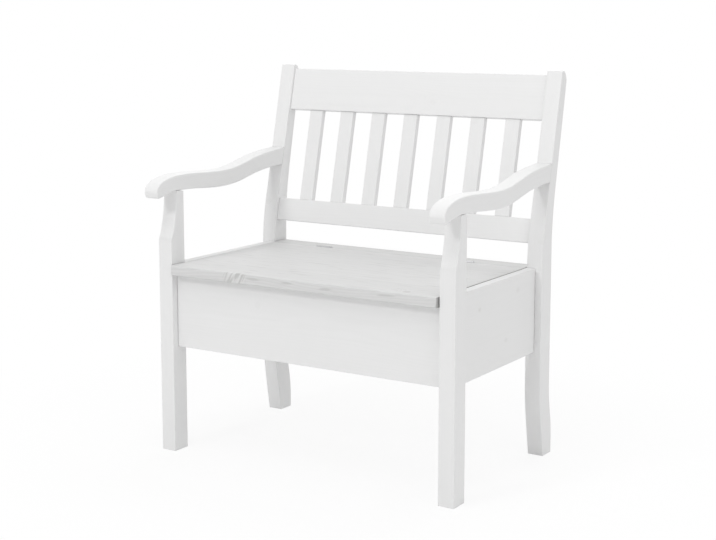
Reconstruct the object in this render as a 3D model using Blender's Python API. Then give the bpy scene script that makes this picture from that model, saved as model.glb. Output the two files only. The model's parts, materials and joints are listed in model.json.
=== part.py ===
"""Storage bench with armrests, modelled in metres with +Z up and its front towards -Y.

Two painted side frames carry a slatted back that leans, and a chest below the seat.
The seat is a lid that swings up on two butt hinges, set in the joint to a fixed rear strip.
The origin lies on the floor, under the middle of the bench.
"""

import math
from dataclasses import dataclass

import bmesh
import bpy
from mathutils import Matrix, Vector

# Overall sizes
WIDTH = 0.810  # over the outer faces of the legs
SEAT_HEIGHT = 0.460  # floor to the top of the lid
CHEST_DEPTH = 0.4205  # front of the front legs to front of the rear legs
CHEST_HEIGHT = 0.202  # top of the lid down to the lower edge of the chest

# Fits and small rounds
FIT = 0.0003  # play between pieces that touch
EDGE_ROUND = 0.0012  # legs and armrests
BOARD_ROUND = 0.001  # long edges of rails, slats and panels
LID_ROUND = 0.0025  # edges round the front of the lid

# Front legs
LEG_WIDTH = 0.0395  # across the bench, also the width of rear legs and armrests
FRONT_LEG_DEPTH = 0.048
HOLLOW_OVER_SEAT = 0.058  # height over the seat where the post starts to hollow
POST_SETBACK = 0.0225  # how far the hollow has come back at the armrest
POST_EASE = 0.010  # length of the slope at the rear of the post's top
POST_EASE_DROP = 0.0024

# Rear legs
REAR_LEG_DEPTH = 0.052  # beside the chest
REAR_LEG_ARM_DEPTH = 0.034  # behind the armrest, square to the lean
REAR_LEG_TOP_DEPTH = 0.029  # beside the top rail, square to the lean
FOOT_SWEEP = 0.023  # how far the foot is swept back
FOOT_DEPTH = 0.0445
SWEEP_HEIGHT = 0.168  # floor to the start of the sweep
BEND_REACH = 0.050  # half the length of the bend above the seat
HORN_HEIGHT = 0.0095  # leg top over the top rail
HORN_ROUND = 0.022  # rounded rear corner of the leg top
HORN_FLAT = 0.006  # flat in front of that corner

# Leaning back
BACK_LEAN = math.radians(12.8)
BACK_OVER_SEAT = 0.058  # top of the seat to the lower rail
BACK_BEHIND_LEG = 0.0095  # front of the rear leg to the lower front edge of the lower rail
RAIL_SETBACK = 0.0065  # rails behind the leaning front face of the legs
RAIL_THICKNESS = 0.022
LOWER_RAIL_HEIGHT = 0.0575
TOP_RAIL_HEIGHT = 0.1077
SLAT_COUNT = 7
SLAT_LENGTH = 0.236  # clear length between the rails
SLAT_WIDTH = 0.038
SLAT_END_GAP = 0.0621  # legs to the outer slats
SLAT_THICKNESS = 0.015

# Armrests
ARM_OVER_SEAT = 0.1755  # top of the seat to the armrest's underside on the post
ARM_NOSE = 0.0505  # nose in front of the leg
ARM_NOSE_DROP = 0.0127  # lowest point of the nose below the post seat
ARM_NOSE_TIP = 0.0015  # upright front of the nose over the post seat
ARM_NOSE_ROUND = 0.005
ARM_THICKNESS = 0.0392  # over the post
ARM_DIP = 0.0072  # underside between post and leg, below the post seat
ARM_DIP_THICKNESS = 0.041
ARM_RISE = 0.026  # underside at the rear leg, over the post seat
ARM_REAR_THICKNESS = 0.044

# Chest
SIDE_THICKNESS = 0.022
APRON_THICKNESS = 0.022
APRON_SETBACK = 0.018  # apron behind the front of the legs
REAR_PANEL_THICKNESS = 0.022
REAR_PANEL_INSET = 0.010  # rear panel in front of the back of the legs
CLEAT = 0.020  # square section of the floor cleats
FLOOR_THICKNESS = 0.008
FLOOR_PLAY = 0.001

# Lid and fixed strip
LID_THICKNESS = 0.0237
LID_OVERHANG = 0.0088  # lid in front of the legs
LID_SIDE_GAP = 0.003  # lid to leg and side panel
LID_JOINT_GAP = 0.0016  # lid to the fixed strip
JOINT_BEFORE_LEG = 0.0065  # hinge line in front of the rear legs
STRIP_INSET = 0.006  # strip in front of the back of the legs
BATTEN_WIDTH = 0.040
BATTEN_THICKNESS = 0.018
BATTEN_END_GAP = 0.022  # batten ends to apron and hinge line
BATTEN_INSET = 0.113  # lid side to the middle of the batten

# Butt hinges
HINGE_INSET = 0.1575  # lid side to the middle of the hinge
HINGE_LENGTH = 0.046
HINGE_RISE = 0.0005  # hinge axis over the seat
LEAF_WIDTH = 0.0185
LEAF_THICKNESS = 0.0014
KNUCKLE_COUNT = 5
KNUCKLE_RADIUS = 0.0028
PIN_RADIUS = 0.0014
PIN_HEAD = 0.0010

# Tenons and fixings
TENON_LENGTH = 0.012
TENON_THICKNESS = 0.010
TENON_SHOULDER = 0.010  # above and below a tenon
SLAT_TENON_LENGTH = 0.010
SLAT_TENON_THICKNESS = 0.008
SLAT_TENON_SHOULDER = 0.005
DOWEL_RADIUS = 0.004
DOWEL_DEPTH = 0.018  # into each of the two pieces
ARM_DOWEL_SPACING = 0.018
STRIP_DOWEL_COUNT = 3
STRIP_DOWEL_COVER = 0.007  # wood left over the dowels of the strip
SCREW_HEAD = 0.0040  # radius over the countersunk head
SCREW_SHANK = 0.0020  # radius
SCREW_SINK = 0.0026  # depth of the head
SCREW_LENGTH = 0.030
HINGE_SCREW_HEAD = 0.0026
HINGE_SCREW_SHANK = 0.0013
HINGE_SCREW_SINK = 0.75 * LEAF_THICKNESS
HINGE_SCREW_LENGTH = 0.014

# Shapes of the curves, as shares of the length that each acts on
HOLLOW_PULL = 0.42  # front post, towards the armrest and back into the hollow
HOLLOW_LEAD = 0.17  # front post, up from the start of the hollow
BEND_PULL = 0.60  # front of the rear leg, above the seat
REAR_BEND_DROP = 0.125  # rear of the same bend, of the leg's depth
REAR_BEND_PULL = 0.33
SWEEP_LEAN = 0.42  # foot of the rear leg
SWEEP_PULL = 0.38
SWEEP_EASE = 0.28
HEEL_SHARE = 0.25
HORN_PULL = 0.50
ARM_DIP_PLACE = 0.355  # from post to rear leg
ARM_CLIMB_PLACE = 0.658  # from post to rear leg
ARM_CLIMB_RUN = 0.332  # length over which the climb would reach its height
ARM_CLIMB_SHARE = 0.33  # height reached there, of the whole rise
ARM_EASE = 0.12
ARM_REAR_EASE = 0.168
NOSE_LOW_PULL = 0.30
NOSE_SEAT_PULL = 0.40
NOSE_TOP_PULL = 1.18
NOSE_FRONT_PULL = 0.62
NOSE_ROUND_PULL = 0.55

# Smoothness of curves and round pieces
CURVE_STEPS = 6
EDGE_STEPS = 2
ROUND_SIDES = 12
KNUCKLE_SIDES = 20
SHARP_ANGLE = math.radians(35)  # edges above it are rounded
SHADE_ANGLE = math.radians(50)  # edges above it stay crisp to the eye
FLAT_ANGLE = math.radians(0.2)
MERGE = 0.00001
OVERCUT = 0.004  # how far cutters and uncut ends run past a face

# Places worked out from the sizes
INNER_HALF = WIDTH / 2 - LEG_WIDTH
LEG_CENTRE = WIDTH / 2 - LEG_WIDTH / 2
CHEST_BOTTOM = SEAT_HEIGHT - CHEST_HEIGHT
LID_BOTTOM = SEAT_HEIGHT - LID_THICKNESS
LID_HALF = INNER_HALF - LID_SIDE_GAP
ARM_SEAT = SEAT_HEIGHT + ARM_OVER_SEAT
REAR_LEG_BACK = CHEST_DEPTH + REAR_LEG_DEPTH
REAR_PANEL_BACK = REAR_LEG_BACK - REAR_PANEL_INSET
REAR_PANEL_FRONT = REAR_PANEL_BACK - REAR_PANEL_THICKNESS
APRON_BACK = APRON_SETBACK + APRON_THICKNESS
BACK_ORIGIN = Vector((CHEST_DEPTH + BACK_BEHIND_LEG, SEAT_HEIGHT + BACK_OVER_SEAT))
LEAN_UP = Vector((math.sin(BACK_LEAN), math.cos(BACK_LEAN)))
LEAN_BEHIND = Vector((math.cos(BACK_LEAN), -math.sin(BACK_LEAN)))
TOP_RAIL_UP = LOWER_RAIL_HEIGHT + SLAT_LENGTH
LEG_TOP_UP = TOP_RAIL_UP + TOP_RAIL_HEIGHT + HORN_HEIGHT
HINGE_AXIS = Vector((0, CHEST_DEPTH - JOINT_BEFORE_LEG, SEAT_HEIGHT + HINGE_RISE))
HINGE_PLACES = {"left": HINGE_INSET - LID_HALF, "right": LID_HALF - HINGE_INSET}
BATTEN_PLACES = {"left": BATTEN_INSET - LID_HALF, "right": LID_HALF - BATTEN_INSET}
SIDES = {"left": -1, "right": 1}
SIDEWAYS = (math.pi / 2, 0, math.pi / 2)  # turns an outline drawn in XY to stand in YZ

# Finishes: colour, roughness, metallic
WHITE_PAINT = ("white_paint", (0.83, 0.83, 0.82), 0.45, 0.0)
GREY_WAX = ("grey_wax", (0.62, 0.62, 0.60), 0.55, 0.0)
BARE_PINE = ("bare_pine", (0.66, 0.50, 0.32), 0.65, 0.0)
STEEL = ("zinc_steel", (0.56, 0.56, 0.58), 0.35, 1.0)


def clear_scene():
    for item in list(bpy.data.objects):
        bpy.data.objects.remove(item, do_unlink=True)


def new_collection(name):
    group = bpy.data.collections.new(name)
    bpy.context.scene.collection.children.link(group)
    return group


def material(finish):
    name, colour, roughness, metallic = finish
    found = bpy.data.materials.get(name)
    if found:
        return found
    made = bpy.data.materials.new(name)
    made.use_nodes = True
    made.diffuse_color = (*colour, 1)
    shader = made.node_tree.nodes["Principled BSDF"]
    shader.inputs["Base Color"].default_value = (*colour, 1)
    shader.inputs["Roughness"].default_value = roughness
    shader.inputs["Metallic"].default_value = metallic
    return made


def empty(name, parent=None, location=(0, 0, 0), rotation=(0, 0, 0)):
    axis = bpy.data.objects.new(name, None)
    axis.parent = parent
    axis.location = location
    axis.rotation_euler = rotation
    PARTS.objects.link(axis)
    return axis


def piece(name, mesh, parent, finish, location=(0, 0, 0), rotation=(0, 0, 0)):
    """Place a finished mesh as one named sub-part."""
    made = bpy.data.objects.new(name, mesh)
    made.parent = parent
    made.location = location
    made.rotation_euler = rotation
    mesh.shade_smooth()
    mesh.set_sharp_from_angle(angle=SHADE_ANGLE)
    if not mesh.materials:
        mesh.materials.append(material(finish))
    PARTS.objects.link(made)
    return made


def mesh_from(bm, name):
    bmesh.ops.recalc_face_normals(bm, faces=bm.faces)
    mesh = bpy.data.meshes.new(name)
    bm.to_mesh(mesh)
    bm.free()
    return mesh


def cutter(name, bm, parent):
    made = bpy.data.objects.new(name, mesh_from(bm, name))
    made.parent = parent
    made.hide_render = True
    made.display_type = "WIRE"
    CUTTERS.objects.link(made)
    return made


def combine(target, tool, operation="DIFFERENCE"):
    step = target.modifiers.new(tool.name, "BOOLEAN")
    step.operation = operation
    step.object = tool


def settled_mesh(source):
    """Mesh of an object with its modifiers or curve settings worked in."""
    bpy.context.view_layer.update()
    settled = source.evaluated_get(bpy.context.evaluated_depsgraph_get())
    return bpy.data.meshes.new_from_object(settled)


def lean_point(up, behind):
    """Point of the leaning back: up along its face and behind that face."""
    return BACK_ORIGIN + LEAN_UP * up + LEAN_BEHIND * behind


def knot(point, back=(0, 0), ahead=(0, 0)):
    """Outline point with the reach of its two handles; no reach gives a straight stretch."""
    return Vector(point), Vector(back), Vector(ahead)


def outline_bmesh(name, knots, thickness):
    """Fill a closed outline and give it its thickness."""
    curve = bpy.data.curves.new(name, "CURVE")
    curve.dimensions = "2D"
    curve.fill_mode = "BOTH"
    curve.extrude = thickness / 2
    curve.resolution_u = CURVE_STEPS
    spline = curve.splines.new("BEZIER")
    spline.bezier_points.add(len(knots) - 1)
    spline.use_cyclic_u = True
    for handle, (point, back, ahead) in zip(spline.bezier_points, knots):
        handle.handle_left_type = "FREE"
        handle.handle_right_type = "FREE"
        handle.co = point.to_3d()
        handle.handle_left = (point + back).to_3d()
        handle.handle_right = (point + ahead).to_3d()
    guide = bpy.data.objects.new(name, curve)
    CUTTERS.objects.link(guide)
    flat = settled_mesh(guide)
    bpy.data.objects.remove(guide, do_unlink=True)
    bm = bmesh.new()
    bm.from_mesh(flat)
    bpy.data.meshes.remove(flat)
    bmesh.ops.remove_doubles(bm, verts=bm.verts, dist=MERGE)
    bmesh.ops.dissolve_limit(bm, angle_limit=FLAT_ANGLE, verts=bm.verts, edges=bm.edges)
    bmesh.ops.recalc_face_normals(bm, faces=bm.faces)
    return bm


def round_over(bm, edges, radius, steps):
    bmesh.ops.bevel(
        bm, geom=edges, offset=radius, segments=steps, profile=0.5, affect="EDGES", material=-1
    )


def round_sharp(bm, radius):
    sharp = [edge for edge in bm.edges if edge.calc_face_angle(0) > SHARP_ANGLE]
    round_over(bm, sharp, radius, EDGE_STEPS)


def saw_off(bm, point, normal):
    """Cut everything beyond a plane away and close the cut."""
    whole = bm.verts[:] + bm.edges[:] + bm.faces[:]
    cut = bmesh.ops.bisect_plane(
        bm, geom=whole, plane_co=point.to_3d(), plane_no=normal.to_3d(), clear_outer=True
    )
    rim = [item for item in cut["geom_cut"] if isinstance(item, bmesh.types.BMEdge)]
    bmesh.ops.contextual_create(bm, geom=rim)


def add_box(bm, centre, size):
    place = Matrix.LocRotScale(Vector(centre), None, Vector(size))
    bmesh.ops.create_cube(bm, size=1, matrix=place)


def box_between(bm, low, high):
    low, high = Vector(low), Vector(high)
    add_box(bm, (low + high) / 2, high - low)


def add_turned(bm, profile, place, sides=ROUND_SIDES):
    """Turn a profile of (radius, distance) points about the local Z axis and place it."""
    before = set(bm.verts)
    points = [bm.verts.new((radius, 0, along)) for radius, along in profile]
    lines = [bm.edges.new(pair) for pair in zip(points, points[1:])]
    bmesh.ops.spin(
        bm,
        geom=points + lines,
        axis=(0, 0, 1),
        cent=(0, 0, 0),
        angle=2 * math.pi,
        steps=sides,
        use_merge=True,
    )
    turned = [vert for vert in bm.verts if vert not in before]
    bmesh.ops.remove_doubles(bm, verts=turned, dist=MERGE)
    turned = [vert for vert in bm.verts if vert not in before]
    bmesh.ops.transform(bm, matrix=place, verts=turned)


def aim(point, direction):
    """Placement with local Z along a direction."""
    turn = Vector(direction).to_track_quat("Z", "Y").to_matrix().to_4x4()
    return Matrix.Translation(point) @ turn


ALONG_X = aim((0, 0, 0), (1, 0, 0))


def rod_profile(radius, low, high):
    return [(0, low), (radius, low), (radius, high), (0, high)]


@dataclass
class Screw:
    """Countersunk screw, from the face of its head at zero to its tip."""

    head: float
    shank: float
    sink: float
    length: float

    def profile(self):
        tip = self.length - 2 * self.shank
        return [(0, 0), (self.head, 0), (self.shank, self.sink), (self.shank, tip), (0, self.length)]

    def hole_profile(self):
        """Hole with play, its cone begun just outside the face."""
        hole = self.shank + FIT
        mouth = self.head + 2 * FIT
        end = self.length + FIT
        return [(0, -OVERCUT), (mouth, -OVERCUT), (mouth, -FIT), (hole, self.sink), (hole, end), (0, end)]


WOOD_SCREW = Screw(SCREW_HEAD, SCREW_SHANK, SCREW_SINK, SCREW_LENGTH)
HINGE_SCREW = Screw(HINGE_SCREW_HEAD, HINGE_SCREW_SHANK, HINGE_SCREW_SINK, HINGE_SCREW_LENGTH)


def fixing_set(name, bodies, hole, places, parent, finish):
    """Equal turned fixings, each its own piece, and one cutter for all their holes."""
    bm = bmesh.new()
    add_turned(bm, bodies, Matrix())
    mesh = mesh_from(bm, name)
    holes = bmesh.new()
    for number, place in enumerate(places, 1):
        made = piece(f"{name}_{number}", mesh, parent, finish)
        made.matrix_basis = place
        add_turned(holes, hole, place)
    return cutter(name + "_holes", holes, parent)


def screw_set(name, screw, places, parent):
    return fixing_set(name, screw.profile(), screw.hole_profile(), places, parent, STEEL)


def dowel_set(name, places, parent):
    reach = DOWEL_DEPTH - FIT
    chamfer = DOWEL_RADIUS / 4
    thin = DOWEL_RADIUS - chamfer
    side = [(DOWEL_RADIUS, chamfer - reach), (DOWEL_RADIUS, reach - chamfer)]
    profile = [(0, -reach), (thin, -reach), *side, (thin, reach), (0, reach)]
    hole = rod_profile(DOWEL_RADIUS + FIT, -DOWEL_DEPTH, DOWEL_DEPTH)
    return fixing_set(name, profile, hole, places, parent, BARE_PINE)


@dataclass
class Board:
    """Plain board with a tenon on both ends of its long axis."""

    name: str
    low: Vector
    high: Vector
    axis: int
    tenon: tuple = None

    @property
    def centre(self):
        return (Vector(self.low) + Vector(self.high)) / 2

    @property
    def size(self):
        return Vector(self.high) - Vector(self.low)

    def mesh(self, rounding=BOARD_ROUND):
        bm = bmesh.new()
        add_box(bm, (0, 0, 0), self.size)
        along = [edge for edge in bm.edges if self.runs_along(edge)]
        round_over(bm, along, rounding, EDGE_STEPS)
        if self.tenon:
            self.draw_tenon(bm, -1)
            self.draw_tenon(bm, 1)
        return mesh_from(bm, self.name)

    def runs_along(self, edge):
        run = edge.verts[0].co - edge.verts[1].co
        return abs(run[self.axis]) > run.length / 2

    def draw_tenon(self, bm, end):
        """Shoulder an end face down to the tenon's section, then pull the tenon out."""
        face = max(bm.faces, key=lambda item: end * item.calc_center_median()[self.axis])
        middle = Vector((0, 0, 0))
        middle[self.axis] = end * self.size[self.axis] / 2
        shrink = Vector(wide / full for wide, full in zip(self.tenon, self.size))
        shrink[self.axis] = 1
        reach = Vector((0, 0, 0))
        reach[self.axis] = end * self.tenon[self.axis]
        shoulder = bmesh.ops.extrude_discrete_faces(bm, faces=[face])["faces"][0]
        frame = Matrix.Translation(-middle)
        bmesh.ops.scale(bm, vec=shrink, space=frame, verts=shoulder.verts)
        tip = bmesh.ops.extrude_discrete_faces(bm, faces=[shoulder])["faces"][0]
        bmesh.ops.translate(bm, vec=reach, verts=tip.verts)

    def add_socket(self, bm, end):
        """Mortise for one tenon, with play, cut in from beyond the shoulder."""
        shoulder = self.centre[self.axis] + end * self.size[self.axis] / 2
        mouth = shoulder - end * OVERCUT
        bottom = shoulder + end * (self.tenon[self.axis] + FIT)
        size = Vector(wide + 2 * FIT for wide in self.tenon)
        size[self.axis] = abs(bottom - mouth)
        centre = self.centre
        centre[self.axis] = (mouth + bottom) / 2
        add_box(bm, centre, size)


def front_leg_bmesh():
    """Straight leg that hollows back above the seat to carry the armrest."""
    uncut = ARM_SEAT + OVERCUT
    hollow = ARM_OVER_SEAT - HOLLOW_OVER_SEAT
    lead = (HOLLOW_PULL * POST_SETBACK, HOLLOW_LEAD * hollow)
    knots = [
        knot((0, 0)),
        knot((FRONT_LEG_DEPTH, 0)),
        knot((FRONT_LEG_DEPTH, uncut + EDGE_ROUND)),
        knot((POST_SETBACK, uncut + EDGE_ROUND)),
        knot((POST_SETBACK, ARM_SEAT), ahead=(0, -HOLLOW_PULL * hollow)),
        knot((0, SEAT_HEIGHT + HOLLOW_OVER_SEAT), back=lead),
    ]
    bm = outline_bmesh("front_leg", knots, LEG_WIDTH)
    round_sharp(bm, EDGE_ROUND)
    top = ARM_SEAT - FIT
    saw_off(bm, Vector((0, top)), Vector((0, 1)))
    saw_off(bm, Vector((FRONT_LEG_DEPTH - POST_EASE, top)), Vector((POST_EASE_DROP, POST_EASE)))
    return bm


def rear_leg_bmesh():
    """Leg that is swept back at the foot, upright beside the chest and leaning beside the back."""
    front = CHEST_DEPTH
    start = BACK_ORIGIN - LEAN_BEHIND * RAIL_SETBACK
    bend = start + LEAN_UP * ((front - start.x) / LEAN_UP.x)
    ease = BEND_PULL * BEND_REACH
    arm_up = (ARM_OVER_SEAT + ARM_RISE - BACK_OVER_SEAT) / LEAN_UP.y
    arm_back = lean_point(arm_up, REAR_LEG_ARM_DEPTH - RAIL_SETBACK)
    top_front = lean_point(LEG_TOP_UP, -RAIL_SETBACK)
    top_back = lean_point(LEG_TOP_UP - HORN_ROUND, REAR_LEG_TOP_DEPTH - RAIL_SETBACK)
    rear_lean = (top_back - arm_back).normalized()
    rear_bend = bend.y - REAR_BEND_DROP * REAR_LEG_DEPTH
    rear_ease = REAR_BEND_PULL * (arm_back.y - rear_bend)
    horn_ease = HORN_PULL * HORN_ROUND
    foot_front = front + FOOT_SWEEP
    foot_back = foot_front + FOOT_DEPTH
    heel = HEEL_SHARE * SWEEP_HEIGHT
    sweep_ease = SWEEP_EASE * SWEEP_HEIGHT
    knots = [
        knot((foot_front, 0), ahead=(-SWEEP_LEAN * FOOT_SWEEP, SWEEP_PULL * SWEEP_HEIGHT)),
        knot((front, SWEEP_HEIGHT), back=(0, -sweep_ease)),
        knot(bend - Vector((0, BEND_REACH)), ahead=(0, ease)),
        knot(bend + LEAN_UP * BEND_REACH, back=-LEAN_UP * ease),
        knot(top_front),
        knot(top_front + Vector((HORN_FLAT, 0)), ahead=(horn_ease, 0)),
        knot(top_back, back=rear_lean * horn_ease),
        knot(arm_back, ahead=-rear_lean * rear_ease),
        knot((REAR_LEG_BACK, rear_bend), back=(0, rear_ease)),
        knot((REAR_LEG_BACK, SWEEP_HEIGHT), ahead=(0, -sweep_ease)),
        knot((foot_back, heel), back=(0, sweep_ease)),
        knot((foot_back, 0)),
    ]
    bm = outline_bmesh("rear_leg", knots, LEG_WIDTH)
    round_sharp(bm, EDGE_ROUND)
    return bm


def armrest_bmesh():
    """Curved rest: drooping nose, flat seat on the post, a dip, then a rise to the rear leg."""
    arm_up = (ARM_OVER_SEAT + ARM_RISE - BACK_OVER_SEAT) / LEAN_UP.y
    leg_face = lean_point(arm_up, -RAIL_SETBACK - FIT)
    uncut = leg_face.x + ARM_REAR_THICKNESS
    span = leg_face.x - FRONT_LEG_DEPTH
    dip = FRONT_LEG_DEPTH + ARM_DIP_PLACE * span
    climb = FRONT_LEG_DEPTH + ARM_CLIMB_PLACE * span
    ease = ARM_EASE * span
    rear_ease = ARM_REAR_EASE * span
    slope = (ARM_RISE + ARM_DIP) / (ARM_CLIMB_RUN * span)
    nose_low = ARM_SEAT - ARM_NOSE_DROP
    nose_tip = ARM_SEAT + ARM_NOSE_TIP
    nose_round = NOSE_ROUND_PULL * ARM_NOSE_ROUND
    top = ARM_SEAT + ARM_THICKNESS
    dip_low = ARM_SEAT - ARM_DIP
    climb_low = ARM_SEAT + ARM_CLIMB_SHARE * ARM_RISE
    climb_thickness = (ARM_DIP_THICKNESS + ARM_REAR_THICKNESS) / 2
    rear_low = ARM_SEAT + ARM_RISE
    seat_front = POST_SETBACK - EDGE_ROUND
    seat_back = FRONT_LEG_DEPTH + EDGE_ROUND
    rise = Vector((ease, ease * slope))
    knots = [
        knot((ARM_NOSE_ROUND - ARM_NOSE, nose_low), (-nose_round, 0), (NOSE_LOW_PULL * ARM_NOSE, 0)),
        knot((seat_front, ARM_SEAT), back=(-NOSE_SEAT_PULL * ARM_NOSE, 0)),
        knot((seat_back, ARM_SEAT), ahead=(ease, 0)),
        knot((dip, dip_low), (-ease, 0), (ease, 0)),
        knot((climb, climb_low), -rise, rise),
        knot((uncut, rear_low), back=(-rear_ease, 0)),
        knot((uncut, rear_low + ARM_REAR_THICKNESS), ahead=(-rear_ease, 0)),
        knot((climb, climb_low + climb_thickness), rise, -rise),
        knot((dip, dip_low + ARM_DIP_THICKNESS), (ease, 0), (-ease, 0)),
        knot((FRONT_LEG_DEPTH, top), (ease, 0), (-NOSE_TOP_PULL * ARM_NOSE, 0)),
        knot((-ARM_NOSE, nose_tip), back=(0, NOSE_FRONT_PULL * (top - nose_tip))),
        knot((-ARM_NOSE, nose_low + ARM_NOSE_ROUND), ahead=(0, -nose_round)),
    ]
    bm = outline_bmesh("armrest", knots, LEG_WIDTH)
    round_sharp(bm, EDGE_ROUND)
    saw_off(bm, leg_face, LEAN_BEHIND)
    return bm


def hinge_leaf_mesh(name, side, knuckles):
    """Leaf with a tab rolled to a knuckle at each of its places, the hinge axis along X."""
    pitch = HINGE_LENGTH / KNUCKLE_COUNT
    half = HINGE_LENGTH / 2
    plate_top = -KNUCKLE_RADIUS - FIT
    knots = [knot((half, -LEAF_WIDTH)), knot((half, plate_top))]
    eyes = bmesh.new()
    for number in reversed(knuckles):
        start = number * pitch - half + FIT / 2
        end = start + pitch - FIT
        add_turned(eyes, rod_profile(KNUCKLE_RADIUS, start, end), ALONG_X, KNUCKLE_SIDES)
        tab = ((end - FIT, plate_top), (end - FIT, 0), (start + FIT, 0), (start + FIT, plate_top))
        knots += [knot(corner) for corner in tab]
    knots += [knot((-half, plate_top)), knot((-half, -LEAF_WIDTH))]
    plate = outline_bmesh(name, knots, LEAF_THICKNESS)
    middle = side * (LID_JOINT_GAP + LEAF_THICKNESS) / 2
    upright = Matrix.Translation((0, middle, 0)) @ Matrix.Rotation(math.pi / 2, 4, "X")
    bmesh.ops.transform(plate, matrix=upright, verts=plate.verts)
    bore = bmesh.new()
    bore_profile = rod_profile(PIN_RADIUS + FIT, -HINGE_LENGTH, HINGE_LENGTH)
    add_turned(bore, bore_profile, ALONG_X, KNUCKLE_SIDES)
    leaf = bpy.data.objects.new(name, mesh_from(plate, name))
    CUTTERS.objects.link(leaf)
    tools = [cutter(name + "_eyes", eyes, None), cutter(name + "_bore", bore, None)]
    combine(leaf, tools[0], "UNION")
    combine(leaf, tools[1], "DIFFERENCE")
    made = settled_mesh(leaf)
    for item in [leaf, *tools]:
        bpy.data.objects.remove(item, do_unlink=True)
    return made


def hinge_screw_places(middle, side):
    """Two screws in a hinge leaf, with their heads in the joint between lid and strip."""
    face = side * LID_JOINT_GAP / 2
    height = -(KNUCKLE_RADIUS + FIT + LEAF_WIDTH) / 2
    spread = HINGE_LENGTH / 4
    return [aim((middle + step * spread, face, height), (0, side, 0)) for step in (-1, 1)]


def hinge_seat_cutters(name, side, middle, parent):
    """Recesses for a hinge leaf and the knuckles in the edge of the lid or of the strip."""
    half = HINGE_LENGTH / 2
    barrel = half + PIN_HEAD + 2 * FIT
    face = side * (LID_JOINT_GAP / 2 - OVERCUT)
    bottom = side * (LID_JOINT_GAP / 2 + LEAF_THICKNESS + FIT)
    leaf_seat = bmesh.new()
    low = (-half - FIT, min(face, bottom), -LEAF_WIDTH - FIT)
    box_between(leaf_seat, low, (half + FIT, max(face, bottom), OVERCUT))
    knuckle_seat = bmesh.new()
    eye = rod_profile(KNUCKLE_RADIUS + FIT, -barrel, barrel)
    add_turned(knuckle_seat, eye, ALONG_X, KNUCKLE_SIDES)
    tools = [cutter(name + "_leaf_seat", leaf_seat, parent)]
    tools.append(cutter(name + "_knuckle_seat", knuckle_seat, parent))
    for tool in tools:
        tool.location.x = middle
    return tools


def pin_mesh():
    """Pin with a low head beyond each end of the knuckles."""
    bm = bmesh.new()
    end = HINGE_LENGTH / 2 + FIT
    head = (PIN_RADIUS + KNUCKLE_RADIUS) / 2
    tip = end + PIN_HEAD
    right = [(PIN_RADIUS, end), (head, end), (head, tip - PIN_HEAD / 3), (PIN_RADIUS, tip), (0, tip)]
    left = [(radius, -along) for radius, along in reversed(right)]
    add_turned(bm, left + right, ALONG_X)
    return mesh_from(bm, "hinge_pin")


def build_side_frames(bench, back, boards):
    """Legs, armrests and side panels of both sides, with their mortises and dowels."""
    for side_name, side in SIDES.items():
        centre = (side * LEG_CENTRE, 0, 0)
        front = piece(
            "front_leg_" + side_name,
            mesh_from(front_leg_bmesh(), "front_leg"),
            bench,
            WHITE_PAINT,
            centre,
            SIDEWAYS,
        )
        rear = piece(
            "rear_leg_" + side_name,
            mesh_from(rear_leg_bmesh(), "rear_leg"),
            bench,
            WHITE_PAINT,
            centre,
            SIDEWAYS,
        )
        arm = piece(
            "armrest_" + side_name,
            mesh_from(armrest_bmesh(), "armrest"),
            bench,
            WHITE_PAINT,
            centre,
            SIDEWAYS,
        )
        panel = side_panel(side_name, side)
        front_sockets = bmesh.new()
        panel.add_socket(front_sockets, -1)
        boards["front_apron"].add_socket(front_sockets, side)
        combine(front, cutter(front.name + "_sockets", front_sockets, bench))
        rear_sockets = bmesh.new()
        panel.add_socket(rear_sockets, 1)
        boards["rear_panel"].add_socket(rear_sockets, side)
        combine(rear, cutter(rear.name + "_sockets", rear_sockets, bench))
        rail_sockets = bmesh.new()
        boards["back_lower_rail"].add_socket(rail_sockets, side)
        boards["back_top_rail"].add_socket(rail_sockets, side)
        combine(rear, cutter(rear.name + "_rail_sockets", rail_sockets, back))
        dowels = dowel_set(f"armrest_{side_name}_dowel", arm_dowel_places(side), bench)
        for drilled in (front, rear, arm):
            combine(drilled, dowels)
        place_board(panel, bench, WHITE_PAINT)


def arm_dowel_places(side):
    """Two upright dowels in the post and one in the joint to the rear leg."""
    post_middle = (POST_SETBACK + FRONT_LEG_DEPTH) / 2
    middle_up = ARM_OVER_SEAT + ARM_RISE + ARM_REAR_THICKNESS / 2 - BACK_OVER_SEAT
    leg_joint = lean_point(middle_up / LEAN_UP.y, -RAIL_SETBACK)
    places = [aim((side * LEG_CENTRE, *leg_joint), (0, *LEAN_BEHIND))]
    for step in (-1, 1):
        across = side * LEG_CENTRE + step * ARM_DOWEL_SPACING / 2
        places.append(aim((across, post_middle, ARM_SEAT), (0, 0, 1)))
    return places


def side_panel(side_name, side):
    edges = sorted((side * INNER_HALF, side * (INNER_HALF + SIDE_THICKNESS)))
    low = (edges[0], FRONT_LEG_DEPTH + FIT, CHEST_BOTTOM)
    high = (edges[1], CHEST_DEPTH - FIT, SEAT_HEIGHT)
    tenon = (TENON_THICKNESS, TENON_LENGTH, CHEST_HEIGHT - 2 * TENON_SHOULDER)
    return Board("side_panel_" + side_name, low, high, 1, tenon)


def chest_boards():
    """Front apron and rear panel, tenoned into the legs."""
    half = INNER_HALF - FIT
    top = LID_BOTTOM - FIT
    tall = top - CHEST_BOTTOM - 2 * TENON_SHOULDER
    tenon = (TENON_LENGTH, TENON_THICKNESS, tall)
    return {
        "front_apron": Board(
            "front_apron", (-half, APRON_SETBACK, CHEST_BOTTOM), (half, APRON_BACK, top), 0, tenon
        ),
        "rear_panel": Board(
            "rear_panel",
            (-half, REAR_PANEL_FRONT, CHEST_BOTTOM),
            (half, REAR_PANEL_BACK, top),
            0,
            tenon,
        ),
    }


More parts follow.
